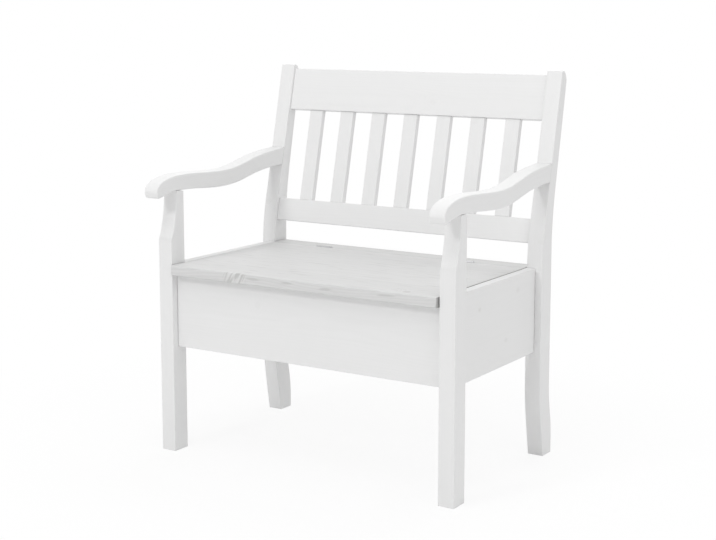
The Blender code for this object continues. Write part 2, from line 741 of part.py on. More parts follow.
def back_rails():
    """Rails of the back, in its own leaning frame."""
    half = INNER_HALF - FIT
    rails = {}
    for name, low, tall in (
        ("back_lower_rail", 0, LOWER_RAIL_HEIGHT),
        ("back_top_rail", TOP_RAIL_UP, TOP_RAIL_HEIGHT),
    ):
        tenon = (TENON_LENGTH, TENON_THICKNESS, tall - 2 * TENON_SHOULDER)
        rails[name] = Board(name, (-half, 0, low), (half, RAIL_THICKNESS, low + tall), 0, tenon)
    return rails


def back_slats():
    """Equal slats with equal gaps, set in the middle of the rails."""
    pitch = (2 * (INNER_HALF - SLAT_END_GAP) - SLAT_WIDTH) / (SLAT_COUNT - 1)
    front = (RAIL_THICKNESS - SLAT_THICKNESS) / 2
    tenon = (SLAT_WIDTH - 2 * SLAT_TENON_SHOULDER, SLAT_TENON_THICKNESS, SLAT_TENON_LENGTH)
    slats = []
    for number in range(SLAT_COUNT):
        left = (number - (SLAT_COUNT - 1) / 2) * pitch - SLAT_WIDTH / 2
        low = (left, front, LOWER_RAIL_HEIGHT + FIT)
        high = (left + SLAT_WIDTH, front + SLAT_THICKNESS, TOP_RAIL_UP - FIT)
        slats.append(Board(f"back_slat_{number + 1}", low, high, 2, tenon))
    return slats


def place_board(board, parent, finish, rounding=BOARD_ROUND):
    return piece(board.name, board.mesh(rounding), parent, finish, board.centre)


def build_back(back, rails):
    slats = back_slats()
    lower = place_board(rails["back_lower_rail"], back, WHITE_PAINT)
    top = place_board(rails["back_top_rail"], back, WHITE_PAINT)
    for rail, end in ((lower, -1), (top, 1)):
        sockets = bmesh.new()
        for slat in slats:
            slat.add_socket(sockets, end)
        combine(rail, cutter(rail.name + "_sockets", sockets, back))
    for slat in slats:
        place_board(slat, back, WHITE_PAINT)


def floor_cleats():
    """Four cleats round the foot of the chest walls."""
    low, high = CHEST_BOTTOM, CHEST_BOTTOM + CLEAT
    front, rear = APRON_BACK + FIT, REAR_PANEL_FRONT - FIT
    half = INNER_HALF - FIT
    inner_front, inner_rear = front + CLEAT + FIT, rear - CLEAT - FIT
    return [
        Board("floor_cleat_front", (-half, front, low), (half, front + CLEAT, high), 0),
        Board("floor_cleat_rear", (-half, rear - CLEAT, low), (half, rear, high), 0),
        Board("floor_cleat_left", (-half, inner_front, low), (CLEAT - half, inner_rear, high), 1),
        Board("floor_cleat_right", (half - CLEAT, inner_front, low), (half, inner_rear, high), 1),
    ]


def build_chest(bench, boards):
    """Walls, floor and cleats of the chest, and the fixed strip over its rear wall."""
    place_board(boards["front_apron"], bench, WHITE_PAINT)
    rear = place_board(boards["rear_panel"], bench, WHITE_PAINT)
    for cleat in floor_cleats():
        place_board(cleat, bench, WHITE_PAINT)
    floor_half = INNER_HALF - FLOOR_PLAY
    floor_low = CHEST_BOTTOM + CLEAT + FIT
    floor = Board(
        "chest_floor",
        (-floor_half, APRON_BACK + FLOOR_PLAY, floor_low),
        (floor_half, REAR_PANEL_FRONT - FLOOR_PLAY, floor_low + FLOOR_THICKNESS),
        0,
    )
    place_board(floor, bench, WHITE_PAINT, FLOOR_THICKNESS / 8)
    strip = Board(
        "rear_seat_strip",
        (-LID_HALF, HINGE_AXIS.y + LID_JOINT_GAP / 2, LID_BOTTOM),
        (LID_HALF, REAR_LEG_BACK - STRIP_INSET, SEAT_HEIGHT),
        0,
    )
    strip_piece = place_board(strip, bench, GREY_WAX, LID_JOINT_GAP / 2)
    dowels = dowel_set("strip_dowel", strip_dowel_places(), bench)
    combine(strip_piece, dowels)
    combine(rear, dowels)
    return strip_piece


def strip_dowel_places():
    """Dowels that hold the fixed strip down on the rear panel."""
    middle = (REAR_PANEL_FRONT + REAR_PANEL_BACK) / 2
    pitch = 2 * LID_HALF / STRIP_DOWEL_COUNT
    joint = SEAT_HEIGHT - STRIP_DOWEL_COVER - DOWEL_DEPTH
    places = []
    for number in range(STRIP_DOWEL_COUNT):
        across = -LID_HALF + (number + 0.5) * pitch
        places.append(aim((across, middle, joint), (0, 0, 1)))
    return places


def build_lid(lid):
    """Seat lid and its battens, measured from the hinge axis."""
    low = Vector((-LID_HALF, -HINGE_AXIS.y - LID_OVERHANG, -HINGE_RISE - LID_THICKNESS))
    high = Vector((LID_HALF, -LID_JOINT_GAP / 2, -HINGE_RISE))
    bm = bmesh.new()
    box_between(bm, low, high)
    front = [edge for edge in bm.edges if is_front_edge(edge, low.y)]
    round_over(bm, front, LID_ROUND, EDGE_STEPS + 1)
    seat = piece("seat_lid", mesh_from(bm, "seat_lid"), lid, GREY_WAX)
    front_end = APRON_BACK + BATTEN_END_GAP - HINGE_AXIS.y
    top = low.z - FIT
    for name, middle in BATTEN_PLACES.items():
        batten = Board(
            "lid_batten_" + name,
            (middle - BATTEN_WIDTH / 2, front_end, top - BATTEN_THICKNESS),
            (middle + BATTEN_WIDTH / 2, -BATTEN_END_GAP, top),
            1,
        )
        screws = batten_screw_places(batten)
        holes = screw_set(batten.name + "_screw", WOOD_SCREW, screws, lid)
        combine(place_board(batten, lid, BARE_PINE), holes)
        combine(seat, holes)
    return seat


def build_hinges(lid, hinge_line, seat, strip):
    """Two butt hinges, each with a leaf on the lid, a leaf on the fixed strip and a pin."""
    pin = pin_mesh()
    for edge, side, parent, owner, first in (
        ("lid", -1, lid, seat, 1),
        ("frame", 1, hinge_line, strip, 0),
    ):
        leaf_mesh = hinge_leaf_mesh(edge + "_leaf", side, range(first, KNUCKLE_COUNT, 2))
        for name, middle in HINGE_PLACES.items():
            label = f"hinge_{name}_{edge}"
            leaf = piece(label + "_leaf", leaf_mesh, parent, STEEL, (middle, 0, 0))
            for tool in hinge_seat_cutters(label, side, middle, parent):
                combine(owner, tool)
            screws = hinge_screw_places(middle, side)
            holes = screw_set(label + "_screw", HINGE_SCREW, screws, parent)
            combine(owner, holes)
            combine(leaf, holes)
    for name, middle in HINGE_PLACES.items():
        piece(f"hinge_{name}_pin", pin, hinge_line, STEEL, (middle, 0, 0))


def is_front_edge(edge, front):
    return all(abs(vert.co.y - front) < MERGE for vert in edge.verts)


def batten_screw_places(batten):
    """Two screws up through a batten into the lid."""
    half = batten.size / 2
    spread = half.y - BATTEN_WIDTH
    return [aim(batten.centre + Vector((0, step * spread, -half.z)), (0, 0, 1)) for step in (-1, 1)]


def centre_on_floor(bench):
    """Put the origin under the middle of the finished bench."""
    bpy.context.view_layer.update()
    depths = [
        (item.matrix_world @ Vector(corner)).y
        for item in PARTS.objects
        if item.type == "MESH"
        for corner in item.bound_box
    ]
    bench.location.y -= (min(depths) + max(depths)) / 2


def build_bench():
    bench = empty("bench_frame")
    back = empty("back_frame", bench, (0, *BACK_ORIGIN), (-BACK_LEAN, 0, 0))
    hinge_line = empty("hinge_line", bench, HINGE_AXIS)
    lid = empty("lid_hinge_axis", bench, HINGE_AXIS)
    boards = {**chest_boards(), **back_rails()}
    build_side_frames(bench, back, boards)
    build_back(back, boards)
    strip = build_chest(bench, boards)
    seat = build_lid(lid)
    build_hinges(lid, hinge_line, seat, strip)
    centre_on_floor(bench)


clear_scene()
PARTS = new_collection("storage_bench")
CUTTERS = new_collection("storage_bench_cutters")
build_bench()
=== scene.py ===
"""Storage bench with armrests: its finishes, its fittings, a studio and a camera, in metres."""

import json
import math

import bmesh
import bpy
import numpy as np
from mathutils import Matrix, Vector
from mathutils.bvhtree import BVHTree

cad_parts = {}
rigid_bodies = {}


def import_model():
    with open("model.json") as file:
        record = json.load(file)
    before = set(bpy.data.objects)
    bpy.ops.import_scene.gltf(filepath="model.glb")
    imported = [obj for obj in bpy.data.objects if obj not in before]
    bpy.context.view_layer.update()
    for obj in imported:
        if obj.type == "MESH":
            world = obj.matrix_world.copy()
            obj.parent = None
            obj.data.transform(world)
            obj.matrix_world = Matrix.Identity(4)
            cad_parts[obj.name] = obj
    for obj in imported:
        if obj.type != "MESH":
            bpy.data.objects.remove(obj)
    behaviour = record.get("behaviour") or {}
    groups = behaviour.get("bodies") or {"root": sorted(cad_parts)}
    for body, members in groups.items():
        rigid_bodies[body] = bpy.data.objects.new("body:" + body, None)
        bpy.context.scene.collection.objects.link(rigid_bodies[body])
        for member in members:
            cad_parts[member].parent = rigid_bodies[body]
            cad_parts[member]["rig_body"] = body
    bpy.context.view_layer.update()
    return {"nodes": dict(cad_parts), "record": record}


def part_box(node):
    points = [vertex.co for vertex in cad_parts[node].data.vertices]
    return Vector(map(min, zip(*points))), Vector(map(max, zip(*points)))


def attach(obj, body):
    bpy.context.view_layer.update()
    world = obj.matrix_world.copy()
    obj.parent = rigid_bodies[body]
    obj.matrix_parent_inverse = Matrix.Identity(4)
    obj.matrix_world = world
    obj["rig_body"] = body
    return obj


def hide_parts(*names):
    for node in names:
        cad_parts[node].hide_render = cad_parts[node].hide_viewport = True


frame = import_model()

# Camera, as it stood for the photograph but with a smaller shift
CAMERA_PLACE = (1.8350, -2.8719, 1.0608)
CAMERA_TURN = math.radians(32.505)
CAMERA_TILT = math.radians(-8.243)
CAMERA_LENS = 72.644
CAMERA_SENSOR = 36.0
CAMERA_SHIFT = -0.07

# Studio: what the lights aim at, the sky, and the floor, whose shadow fades out between two distances
AIM = Vector((0.0, 0.0, 0.45))
WHITE = (1.0, 1.0, 1.0, 1.0)
SKY_LIGHT = 0.59
FLOOR_REACH = 20.0
FLOOR_TONE = (0.94, 0.94, 0.94, 1.0)
FLOOR_GLOW = 0.85
SHADOW_NEAR = 0.45
SHADOW_FAR = 1.30

# Softboxes around the bench: turn from the front towards the right, height, distance, size, watts
SOFTBOXES = {
    "key_softbox": (-15.0, 32.5, 3.7, 0.5, 20.5),
    "front_softbox": (0.0, 62.0, 3.7, 2.0, 24.0),
    "overhead_softbox": (0.0, 85.0, 3.7, 2.4, 12.0),
    "right_softbox": (75.0, 20.0, 3.0, 2.2, 10.2),
    "rear_softbox": (180.0, 50.0, 3.5, 2.4, 30.0),
}

# Meshes: points this near are one, faces that bend less are one, edges that bend more are sharp
MERGE = 1e-6
FLAT_ANGLE = math.radians(0.5)
ARM_FLAT_ANGLE = math.radians(0.2)
CREASE_ANGLE = math.radians(50)

# Faces of a rail with more sides than this hold a straight row of mortises
FEW_SIDES = 8

# Armrests and their long edges: round of the solid, fuller round, steps of half of it, fade at the rear
ARMRESTS = ("armrest_left", "armrest_right")
SOLID_ROUND = 0.0012
ARM_ROUND = 0.0036
ARM_ROUND_STEPS = 4
ARM_ROUND_FADE = 0.020

# Slope below which a face of an armrest is square to its sides, and points that are one once it is shaped
SQUARE_TO_SIDES = 0.01
CROWDED = 0.0002

# Nose of an armrest: how far its lower front is drawn in, over what height and depth, and how
NOSE_TUCK = 0.0060
NOSE_TUCK_RISE = 0.0220
NOSE_TUCK_DEPTH = 0.0060
NOSE_TUCK_STEPS = 6
NOSE_TUCK_POWER = 1.5

# Cross recess of the screws, as shares of the head's radius, and how far its floor narrows
RECESS_RIM = 0.40
RECESS_WIDTH = 0.20
RECESS_DEPTH = 0.50
RECESS_TAPER = 0.55

# Edges that the finish rounds over further, by words in the names of the pieces
EDGE_EASE = {"leg": 0.0018, "screw": 0.0002, "hinge": 0.0003}
PLAIN_EASE = 0.0014

# Boards in the log: distance from the pith, step from board to board, slope where end grain begins
PITH_NEAR = 0.045
PITH_FAR = 0.130
BOARD_STEP = 1.7
END_GRAIN = 0.8

# Growth rings of pine: spacing, how far they wander, and where in a ring the late wood rises and ends
RING_SPACING = 0.0046
WANDER = 0.045
WANDER_SCALE = (2.2, 7.0, 7.0)
WANDER_DETAIL = 1.5
LATE_WOOD_RISE = (0.25, 0.86)
LATE_WOOD_END = (1.0, 0.9)

# Knots of pine: spacing, share of the places left bare, radius, rim and swirl in radii, their own rings
KNOT_SPACING = 0.21
KNOT_BARE_SHARE = 0.55
KNOT_RADIUS = (0.006, 0.013)
KNOT_RIM = (1.0, 0.8)
KNOT_SWIRL = 0.011
KNOT_SWIRL_REACH = (3.6, 0.4)
KNOT_RING_WIDTH = 0.0011
KNOT_LATE_WOOD = (0.0002, 0.0010)
KNOT_EARLY_TONE = 0.35

# Fibres of pine: how many to a metre along and across the grain, and how fine their noise is
FIBRE_SCALE = (9.0, 420.0, 420.0)
FIBRE_DETAIL = 3.0
FIBRE_ROUGHNESS = 0.6

# Staves of a glued board: width, how far the grain shifts along, across and through, width of a seam
STAVE_WIDTH = 0.0845
STAVE_SHIFT = (5.0, 0.09, 0.05)
STAVE_SEAM = (0.0009, 0.0002)

# Eased edges, rubbed edges that on the paint are also a painted highlight, and joint lines with painted
# shade in their corners: rays for each, bend of a rubbed edge, openness of a joint line
EASE_SAMPLES = 8
RUB_SAMPLES = 6
RUB_BEND = (0.995, 0.80)
LINE_SAMPLES = 8
LINE_OPEN = (0.80, 0.45)

# White paint: plain tones, layers over them as share and tone, patterns, roughness and relief
PAINT_SPECULAR = 0.35
PAINT_TONES = ((0.818, 0.818, 0.817), (0.838, 0.838, 0.837))
PAINT_BRUSHED = (0.18, (0.795, 0.795, 0.793))
PAINT_RINGS = (0.09, (0.765, 0.764, 0.760))
PAINT_KNOTS = (0.16, (0.740, 0.737, 0.728))
PAINT_GHOSTS = (1.0, (0.740, 0.737, 0.728))
# Edges of the paint are laid lighter: partly thinner paint, partly a painted highlight
PAINT_EDGE_WEAR_AND_HIGHLIGHT = (0.20, (0.850, 0.850, 0.849))
# Tone of the joint line: occlusion darkens the paint in narrow corners, partly as a dark joint and partly as
# painted shade
PAINT_JOINT_LINE_AND_SHADE = (0.38, (0.440, 0.438, 0.432))
PAINT_EDGE_WIDTH = 0.0020
PAINT_JOINT_SHADE_WIDTH = 0.0025
PAINT_CLOUD_SCALE = (5.0, 22.0, 22.0)
PAINT_CLOUD_DETAIL = 3.0
PAINT_BRUSH_SCALE = (2.5, 110.0, 110.0)
PAINT_BRUSH_MARKS = (0.45, 0.75)
PAINT_ROUGHNESS = 0.44
PAINT_FIBRE_ROUGHNESS = 0.16
PAINT_EDGE_ROUGHNESS = -0.06
PAINT_RING_HEIGHT = 0.5
PAINT_FIBRE_HEIGHT = 0.8
PAINT_RELIEF = (0.22, 0.00025)

# Knots that ghost through the paint of the right side panel: share back, share up, reach, strength
GHOST_KNOTS = (
    (0.268, 0.751, 0.0075, 0.80),
    (0.743, 0.821, 0.0095, 0.50),
    (0.597, 0.292, 0.0085, 0.55),
)
GHOST_KNOT_LENGTH = 1.4
GHOST_KNOT_RIM = (1.0, 0.2)

# Grey wax: plain tones, layers over them as share and tone, patterns, roughness and relief
WAX_TONES = ((0.664, 0.664, 0.662), (0.684, 0.684, 0.682))
WAX_STREAKS = (0.50, (0.605, 0.604, 0.601))
WAX_RINGS = (0.30, (0.560, 0.558, 0.553))
WAX_DASHES = (0.65, (0.520, 0.518, 0.512))
WAX_KNOTS = (0.55, (0.490, 0.486, 0.476))
WAX_SEAMS = (0.30, (0.530, 0.528, 0.522))
# Tone of the painted shade that darkens the wax of some pieces
WAX_PAINTED_SHADE_TONE = (1.0, (0.530, 0.529, 0.526))
WAX_ENDS = (0.85, (0.400, 0.397, 0.390))
WAX_EDGE = (0.30, (0.710, 0.710, 0.708))
WAX_EDGE_WIDTH = 0.0025
WAX_STREAK_SCALE = (7.0, 140.0, 140.0)
WAX_STREAK_DETAIL = 3.0
WAX_STREAK_ROUGHNESS = 0.6
WAX_STREAK_MARKS = (0.45, 0.75)
WAX_DASH_SCALE = (15.0, 115.0, 115.0)
WAX_DASH_DETAIL = 1.0
WAX_DASH_MARKS = (0.62, 0.74)
WAX_ROUGHNESS = 0.44
WAX_FIBRE_ROUGHNESS = 0.18
WAX_EDGE_ROUGHNESS = -0.08
WAX_RING_HEIGHT = 0.7
WAX_RELIEF = (0.35, 0.0003)

# Pieces whose wax is laid darker as painted shade, against the light they catch, and by what share
WAX_PAINTED_SHADE = {"rear_seat_strip": 0.5}

# Knot in the front edge of the lid: place along it, reach along, in and up, slant, spikes to a metre
EDGE_KNOT_PLACE = 0.262
EDGE_KNOT_REACH = (0.038, 0.014, 0.030)
EDGE_KNOT_SLANT = 0.55
EDGE_KNOT_SPIKES = (125.0, 22.0, 1.0)
EDGE_KNOT_DETAIL = 1.5
EDGE_KNOT_RIM = (1.0, 0.6)
EDGE_KNOT_MARKS = (0.40, 0.60)
EDGE_KNOT_TONES = ((0.490, 0.487, 0.480), (0.705, 0.705, 0.702))
EDGE_KNOT_SHARE = 0.75

# Bare pine: plain tones, layers over them as share and tone, roughness and relief
PINE_TONES = ((0.640, 0.480, 0.300), (0.740, 0.585, 0.400))
PINE_RINGS = (0.60, (0.500, 0.315, 0.150))
PINE_KNOTS = (0.80, (0.250, 0.130, 0.060))
PINE_ROUGHNESS = 0.52
PINE_FIBRE_ROUGHNESS = 0.2
PINE_RING_HEIGHT = 0.6
PINE_RELIEF = (0.4, 0.0003)

# Zinc plated steel: plain tones, rubbed edge as share and tone, patterns, roughness and relief
ZINC_TONES = ((0.50, 0.50, 0.51), (0.64, 0.64, 0.65))
ZINC_EDGE = (0.4, (0.74, 0.74, 0.75))
ZINC_EDGE_WIDTH = 0.0006
ZINC_SPANGLE_SCALE = (700.0, 700.0, 700.0)
ZINC_DRAWN_SCALE = (60.0, 2500.0, 2500.0)
ZINC_ROUGHNESS = 0.24
ZINC_DRAWN_ROUGHNESS = 0.22
ZINC_RELIEF = (0.15, 0.00005)

FINISH_WORDS = {
    "white_paint": "painted",
    "grey_wax": "waxed",
    "bare_pine": "planed",
    "zinc_steel": "plated",
}


class Web:
    """A node tree, with short calls that add nodes and join them."""

    # Places of the colour sockets among those of a Mix node
    MIX_COLOURS = slice(6, 8)
    MIX_COLOUR_RESULT = 2

    def __init__(self, tree):
        self.tree = tree

    def feed(self, socket, value):
        """Join a socket to another one, or set it to a plain value."""
        if isinstance(value, bpy.types.NodeSocket):
            self.tree.links.new(value, socket)
        else:
            socket.default_value = value

    def add(self, kind, sockets=None, **settings):
        node = self.tree.nodes.new(kind)
        for name, value in settings.items():
            setattr(node, name, value)
        for name, value in (sockets or {}).items():
            self.feed(node.inputs[name], value)
        return node

    def group(self, tree, sockets):
        return self.add("ShaderNodeGroup", sockets, node_tree=tree).outputs

    def attribute(self, name):
        return self.add("ShaderNodeAttribute", attribute_name=name).outputs

    def object_place(self):
        return self.add("ShaderNodeTexCoord").outputs["Object"]

    def split(self, vector):
        return self.add("ShaderNodeSeparateXYZ", {"Vector": vector}).outputs

    def split_colour(self, colour):
        return self.add("ShaderNodeSeparateColor", {"Color": colour}).outputs

    def length(self, vector):
        return self.add("ShaderNodeVectorMath", {0: vector}, operation="LENGTH").outputs["Value"]

    def maths(self, operation, *values):
        return self.add("ShaderNodeMath", dict(enumerate(values)), operation=operation).outputs[0]

    def times(self, first, second):
        return self.maths("MULTIPLY", first, second)

    def ease(self, value, low, high, start=0.0, end=1.0):
        """Smooth step from start to end as the value goes from low to high."""
        sockets = {"Value": value, "From Min": low, "From Max": high, "To Min": start, "To Max": end}
        return self.add("ShaderNodeMapRange", sockets, interpolation_type="SMOOTHSTEP").outputs[0]

    def span(self, value, start, end):
        """Spread a share between 0 and 1 evenly from start to end."""
        return self.add("ShaderNodeMapRange", {"Value": value, "To Min": start, "To Max": end}).outputs[0]

    def stretch(self, vector, scale):
        return self.add("ShaderNodeMapping", {"Vector": vector, "Scale": scale}).outputs[0]

    def noise(self, vector, scale, detail=2.0, roughness=0.5):
        """Noise with so many lines to a metre along each axis."""
        place = self.stretch(vector, scale)
        sockets = {"Vector": place, "Scale": 1.0, "Detail": detail, "Roughness": roughness}
        return self.add("ShaderNodeTexNoise", sockets).outputs["Fac"]

    def blend(self, share, first, second):
        """Colour that goes from the first to the second as the share goes from 0 to 1."""
        mix = self.add("ShaderNodeMix", {"Factor": share}, data_type="RGBA")
        for socket, colour in zip(mix.inputs[self.MIX_COLOURS], (first, second)):
            self.feed(socket, colour if isinstance(colour, bpy.types.NodeSocket) else (*colour, 1))
        return mix.outputs[self.MIX_COLOUR_RESULT]

    def lay(self, ground, mask, layer):
        """Lay a layer, given as its share and tone, over the ground where its mask shows it."""
        share, tone = layer
        return self.blend(self.times(mask, share), ground, tone)


def shader_group(name, takes, gives):
    """A node group with its named sockets, as its web, its entry and its exit."""
    tree = bpy.data.node_groups.new(name, "ShaderNodeTree")
    for direction, sockets in (("INPUT", takes), ("OUTPUT", gives)):
        for label, kind in sockets.items():
            tree.interface.new_socket(label, in_out=direction, socket_type="NodeSocket" + kind)
    web = Web(tree)
    return web, web.add("NodeGroupInput").outputs, web.add("NodeGroupOutput").inputs


def pine_figure():
    """Growth rings, fibres and knots of pine, for coordinates measured from the pith."""
    web, takes, gives = shader_group(
        "pine_figure",
        {"Vector": "Vector", "Ring Spacing": "Float", "Knot Spacing": "Float"},
        {"Rings": "Float", "Fibre": "Float", "Knots": "Float"},
    )
    along, wide, thick = web.split(takes["Vector"])
    radius = web.maths("SQRT", web.maths("ADD", web.times(wide, wide), web.times(thick, thick)))
    turn = web.times(web.maths("ARCTAN2", thick, wide), (PITH_NEAR + PITH_FAR) / 2)
    whorl = web.add("ShaderNodeCombineXYZ", {"X": along, "Y": turn}).outputs[0]
    cells = web.add(
        "ShaderNodeTexVoronoi",
        {"Vector": whorl, "Scale": web.maths("DIVIDE", 1.0, takes["Knot Spacing"])},
        voronoi_dimensions="2D",
    ).outputs
    chance, bulk, _ = web.split_colour(cells["Color"])
    branch = web.maths("GREATER_THAN", chance, KNOT_BARE_SHARE)
    from_knot = web.times(cells["Distance"], takes["Knot Spacing"])
    reach = web.maths("DIVIDE", from_knot, web.span(bulk, *KNOT_RADIUS))
    knots = web.times(branch, web.ease(reach, *KNOT_RIM))
    swirl = web.times(branch, web.ease(reach, *KNOT_SWIRL_REACH, 0.0, KNOT_SWIRL))
    wander = web.noise(takes["Vector"], WANDER_SCALE, WANDER_DETAIL)
    drift = web.maths("ADD", radius, web.maths("MULTIPLY_ADD", wander, WANDER, swirl))
    growth = web.maths("FRACT", web.maths("DIVIDE", drift, takes["Ring Spacing"]))
    late = web.times(web.ease(growth, *LATE_WOOD_RISE), web.ease(growth, *LATE_WOOD_END))
    knot_growth = web.maths("PINGPONG", from_knot, KNOT_RING_WIDTH)
    knot_late = web.ease(knot_growth, *KNOT_LATE_WOOD, KNOT_EARLY_TONE, 1.0)
    rings = web.add("ShaderNodeMix", {"Factor": knots, "A": late, "B": knot_late}).outputs[0]
    web.feed(gives["Rings"], rings)
    web.feed(gives["Fibre"], web.noise(takes["Vector"], FIBRE_SCALE, FIBRE_DETAIL, FIBRE_ROUGHNESS))
    web.feed(gives["Knots"], knots)
    return web.tree


def glued_staves():
    """Shifts the grain from stave to stave across a glued board, with a tone for each stave."""
    web, takes, gives = shader_group(
        "glued_staves",
        {"Vector": "Vector", "Width": "Float"},
        {"Vector": "Vector", "Tone": "Float", "Seam": "Float"},
    )
    along, wide, thick = web.split(takes["Vector"])
    number = web.maths("FLOOR", web.maths("DIVIDE", wide, takes["Width"]))
    draw = web.add("ShaderNodeTexWhiteNoise", {"W": number}, noise_dimensions="1D").outputs
    lot, lean, tone = web.split_colour(draw["Color"])
    in_stave = web.maths("SUBTRACT", wide, web.times(number, takes["Width"]))
    moves = zip("XYZ", (lot, lean, tone), STAVE_SHIFT, (along, in_stave, thick))
    shifted = {axis: web.maths("MULTIPLY_ADD", share, shift, place) for axis, share, shift, place in moves}
    from_seam = web.maths("PINGPONG", wide, web.times(takes["Width"], 0.5))
    web.feed(gives["Vector"], web.add("ShaderNodeCombineXYZ", shifted).outputs[0])
    web.feed(gives["Tone"], tone)
    web.feed(gives["Seam"], web.ease(from_seam, *STAVE_SEAM))
    return web.tree


def rubbed_edge_and_highlight():
    """Mask of the outer edges, where a finish lies thinner; on the white paint the lighter tone laid there
    is also a painted highlight.
    """
    web, takes, gives = shader_group("rubbed_edge_and_highlight", {"Radius": "Float"}, {"Edge": "Float"})
    rounded = web.add("ShaderNodeBevel", {"Radius": takes["Radius"]}, samples=RUB_SAMPLES).outputs[0]
    true = web.add("ShaderNodeNewGeometry").outputs["Normal"]
    dot = web.add("ShaderNodeVectorMath", {0: rounded, 1: true}, operation="DOT_PRODUCT").outputs["Value"]
    web.feed(gives["Edge"], web.ease(dot, *RUB_BEND))
    return web.tree


def joint_line_and_painted_shade():
    """Mask of the narrow corners where pieces meet, found by occlusion: a dark joint line and painted shade
    where less light reaches.
    """
    web, takes, gives = shader_group("joint_line_and_painted_shade", {"Reach": "Float"}, {"Line": "Float"})
    around = web.add("ShaderNodeAmbientOcclusion", {"Distance": takes["Reach"]}, samples=LINE_SAMPLES)
    web.feed(gives["Line"], web.ease(around.outputs["AO"], *LINE_OPEN))
    return web.tree


def eased_edges():
    """Normals of a surface whose edges are rounded over by a radius."""
    web, takes, gives = shader_group("eased_edges", {"Radius": "Float"}, {"Normal": "Vector"})
    rounded = web.add("ShaderNodeBevel", {"Radius": takes["Radius"]}, samples=EASE_SAMPLES).outputs[0]
    web.feed(gives["Normal"], rounded)
    return web.tree


PINE_FIGURE = pine_figure()
GLUED_STAVES = glued_staves()
RUBBED_EDGE_AND_HIGHLIGHT = rubbed_edge_and_highlight()
JOINT_LINE_AND_PAINTED_SHADE = joint_line_and_painted_shade()
EASED_EDGES = eased_edges()


def new_material(name):
    """A material with its web and its main shader."""
    made = bpy.data.materials.new(name)
    made.use_nodes = True
    return made, Web(made.node_tree), made.node_tree.nodes["Principled BSDF"]


def grain_place(web):
    """Place in the log that each piece carries as its own attribute."""
    return web.attribute("grain")["Vector"]


def figure(web, vector):
    """Rings, fibres and knots of the bench's pine at a place in the log."""
    sockets = {"Vector": vector, "Ring Spacing": RING_SPACING, "Knot Spacing": KNOT_SPACING}
    return web.group(PINE_FIGURE, sockets)


def worn_edge_and_highlight(web, width):
    """Mask of the edges, so wide, where the finish is rubbed, and where the white paint also gets a painted
    highlight.
    """
    return web.group(RUBBED_EDGE_AND_HIGHLIGHT, {"Radius": width})["Edge"]


def roughen(web, shader, plain, *changes):
    """Roughness from a plain value and from masks, each with what it adds."""
    rough = plain
    for mask, gain in changes:
        rough = web.maths("MULTIPLY_ADD", mask, gain, rough)
    web.feed(shader.inputs["Roughness"], rough)


def relief(web, shader, height, strength, distance):
    """Small bumps on the surface, with the edges rounded over as far as the piece's own attribute says."""
    eased = web.group(EASED_EDGES, {"Radius": web.attribute("edge_ease")["Fac"]})["Normal"]
    sockets = {"Height": height, "Strength": strength, "Distance": distance, "Normal": eased}
    web.feed(shader.inputs["Normal"], web.add("ShaderNodeBump", sockets).outputs[0])


def from_point(web, middle, reach):
    """Offset from a point of the piece, and its length as a share of the reach along each axis."""
    sockets = {0: web.object_place(), 1: middle}
    offset = web.add("ShaderNodeVectorMath", sockets, operation="SUBTRACT").outputs[0]
    return offset, web.length(web.stretch(offset, [1 / size for size in reach]))


def ghost_knots(web):
    """Mask of the few knots that show through the paint of the right side panel."""
    low, high = (Vector(corner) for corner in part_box("side_panel_right"))
    mask = 0.0
    for back, up, size, strength in GHOST_KNOTS:
        middle = Vector((high.x, low.y + back * (high.y - low.y), low.z + up * (high.z - low.z)))
        _, away = from_point(web, middle, (size, size * GHOST_KNOT_LENGTH, size))
        mask = web.maths("MAXIMUM", mask, web.ease(away, *GHOST_KNOT_RIM, 0.0, strength))
    return mask


def edge_knot(web):
    """A branch cut lengthwise by the front edge of the lid: its mask, and its slanting spikes."""
    low, high = (Vector(corner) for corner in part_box("seat_lid"))
    middle = Vector((low.x + EDGE_KNOT_PLACE * (high.x - low.x), low.y, (low.z + high.z) / 2))
    offset, away = from_point(web, middle, EDGE_KNOT_REACH)
    across, _, up = web.split(offset)
    slanted = web.maths("MULTIPLY_ADD", up, -EDGE_KNOT_SLANT, across)
    spread = web.add("ShaderNodeCombineXYZ", {"X": slanted, "Y": up}).outputs[0]
    spikes = web.noise(spread, EDGE_KNOT_SPIKES, EDGE_KNOT_DETAIL)
    return web.ease(away, *EDGE_KNOT_RIM), web.ease(spikes, *EDGE_KNOT_MARKS)


